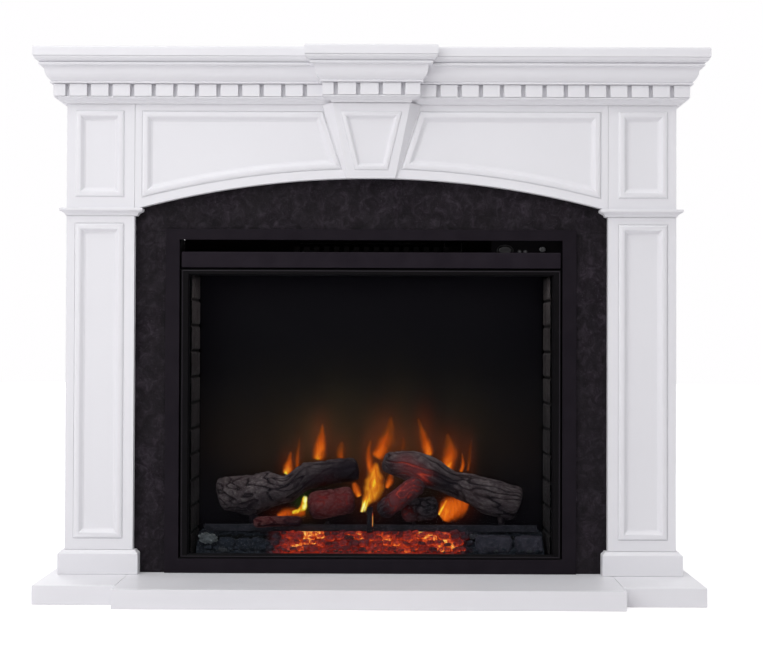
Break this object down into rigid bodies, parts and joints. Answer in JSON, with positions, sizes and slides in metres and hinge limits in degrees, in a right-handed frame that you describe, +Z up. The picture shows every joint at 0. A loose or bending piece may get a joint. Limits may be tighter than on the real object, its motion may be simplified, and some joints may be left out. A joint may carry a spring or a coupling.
{
  "type": "electric fireplace",
  "caption": "Electric fireplace: white breakfront mantel with keystone and dentils, dark stone surround, and a glass-fronted insert with logs, embers and a blower heater.",
  "frame": {"origin": "middle of the overall footprint, on the floor", "axes": "+X to the right of a person who faces the fireplace, +Y towards the wall behind it, +Z up; the front faces -Y"},
  "size_m": [1.48, 0.46, 1.2],
  "materials": {
    "white_paint": "satin sprayed paint over board",
    "dark_stone": "honed black slate with a fine grey mottle",
    "black_trim": "satin black powder coat",
    "clear_glass": "clear tempered",
    "black_sheet": "matt black heat-proof paint",
    "brick": "sooty cast brick with mortar courses",
    "smoked_screen": "smoked, half mirrored",
    "bright_foil": "bright",
    "motor_steel": "plated",
    "zinc_sheet": "zinc plated",
    "blower_plastic": "moulded",
    "heater_alloy": "finned, blackened",
    "ember_resin": "moulded charcoal and ash, lit orange from below",
    "log_bark": "moulded bark with charred and ash-grey areas",
    "cast_iron": "rough cast, grey with ash",
    "lamp_strip": "board with warm lamps",
    "switch_black": "moulded",
    "button_grey": "moulded",
    "knob_silver": "satin",
    "gland_rubber": "moulded"
  },
  "bodies": {
    "root": {"hearth_slab": "white_paint", "plinth_left": "white_paint", "plinth_right": "white_paint", "pilaster_frame_left": "white_paint", "pilaster_frame_right": "white_paint", "pilaster_panel_left": "white_paint", "pilaster_panel_right": "white_paint", "capital_left": "white_paint", "capital_right": "white_paint", "corner_block_left": "white_paint", "corner_block_right": "white_paint", "header_frame": "white_paint", "header_panel_left": "white_paint", "header_panel_right": "white_paint", "keystone": "white_paint", "bed_moulding": "white_paint", "dentil_course": "white_paint", "crown_moulding": "white_paint", "mantel_shelf": "white_paint", "side_panel_left": "white_paint", "side_panel_right": "white_paint", "back_rail": "white_paint", "surround_left": "dark_stone", "surround_right": "dark_stone", "surround_top": "dark_stone", "trim_frame": "black_trim", "outlet_bar": "black_trim", "glass_frame": "black_trim", "front_glass": "clear_glass", "firebox_floor": "black_sheet", "firebox_top": "black_sheet", "firebox_ceiling": "black_sheet", "firebox_side_left": "black_sheet", "firebox_side_right": "black_sheet", "firebox_back": "black_sheet", "control_panel": "black_sheet", "brick_liner_left": "brick", "brick_liner_right": "brick", "flame_screen": "smoked_screen", "flame_motor": "motor_steel", "blower_motor": "motor_steel", "blower_housing": "zinc_sheet", "heating_element": "heater_alloy", "ember_bed": "ember_resin", "log_left": "log_bark", "log_right": "log_bark", "log_small": "log_bark", "log_center": "log_bark", "log_chunk": "log_bark", "log_front": "log_bark", "log_grate": "cast_iron", "lamp_board": "lamp_strip", "inlet_gland": "gland_rubber"},
    "blower_rotor": {"blower_wheel": "blower_plastic"},
    "flame_spindle": {"flame_rotor": "bright_foil"},
    "power_switch": {"power_rocker": "switch_black"},
    "heat_key": {"heat_button": "button_grey"},
    "flame_key": {"flame_button": "button_grey"},
    "heat_dial": {"heat_knob": "knob_silver"}
  },
  "joints": [
    {"name": "blower_spin", "type": "hinge", "parent": "root", "child": "blower_rotor", "pos_m": [0, 0.11, 0.757], "axis": [1, 0, 0], "continuous": true},
    {"name": "flame_spin", "type": "hinge", "parent": "root", "child": "flame_spindle", "pos_m": [0, 0.157, 0.17], "axis": [1, 0, 0], "continuous": true},
    {"name": "power_rock", "type": "hinge", "parent": "root", "child": "power_switch", "pos_m": [0.3008, 0.013, 0.762], "axis": [0, 0, 1], "range_deg": [-6, 6]},
    {"name": "heat_press", "type": "slide", "parent": "root", "child": "heat_key", "axis": [0, 1, 0], "range_m": [0, 0.0015], "stiffness_N_per_m": 600},
    {"name": "flame_press", "type": "slide", "parent": "root", "child": "flame_key", "axis": [0, 1, 0], "range_m": [0, 0.0015], "stiffness_N_per_m": 600},
    {"name": "heat_turn", "type": "hinge", "parent": "root", "child": "heat_dial", "pos_m": [0.384, 0.012, 0.764], "axis": [0, 1, 0], "range_deg": [0, 270]}
  ]
}
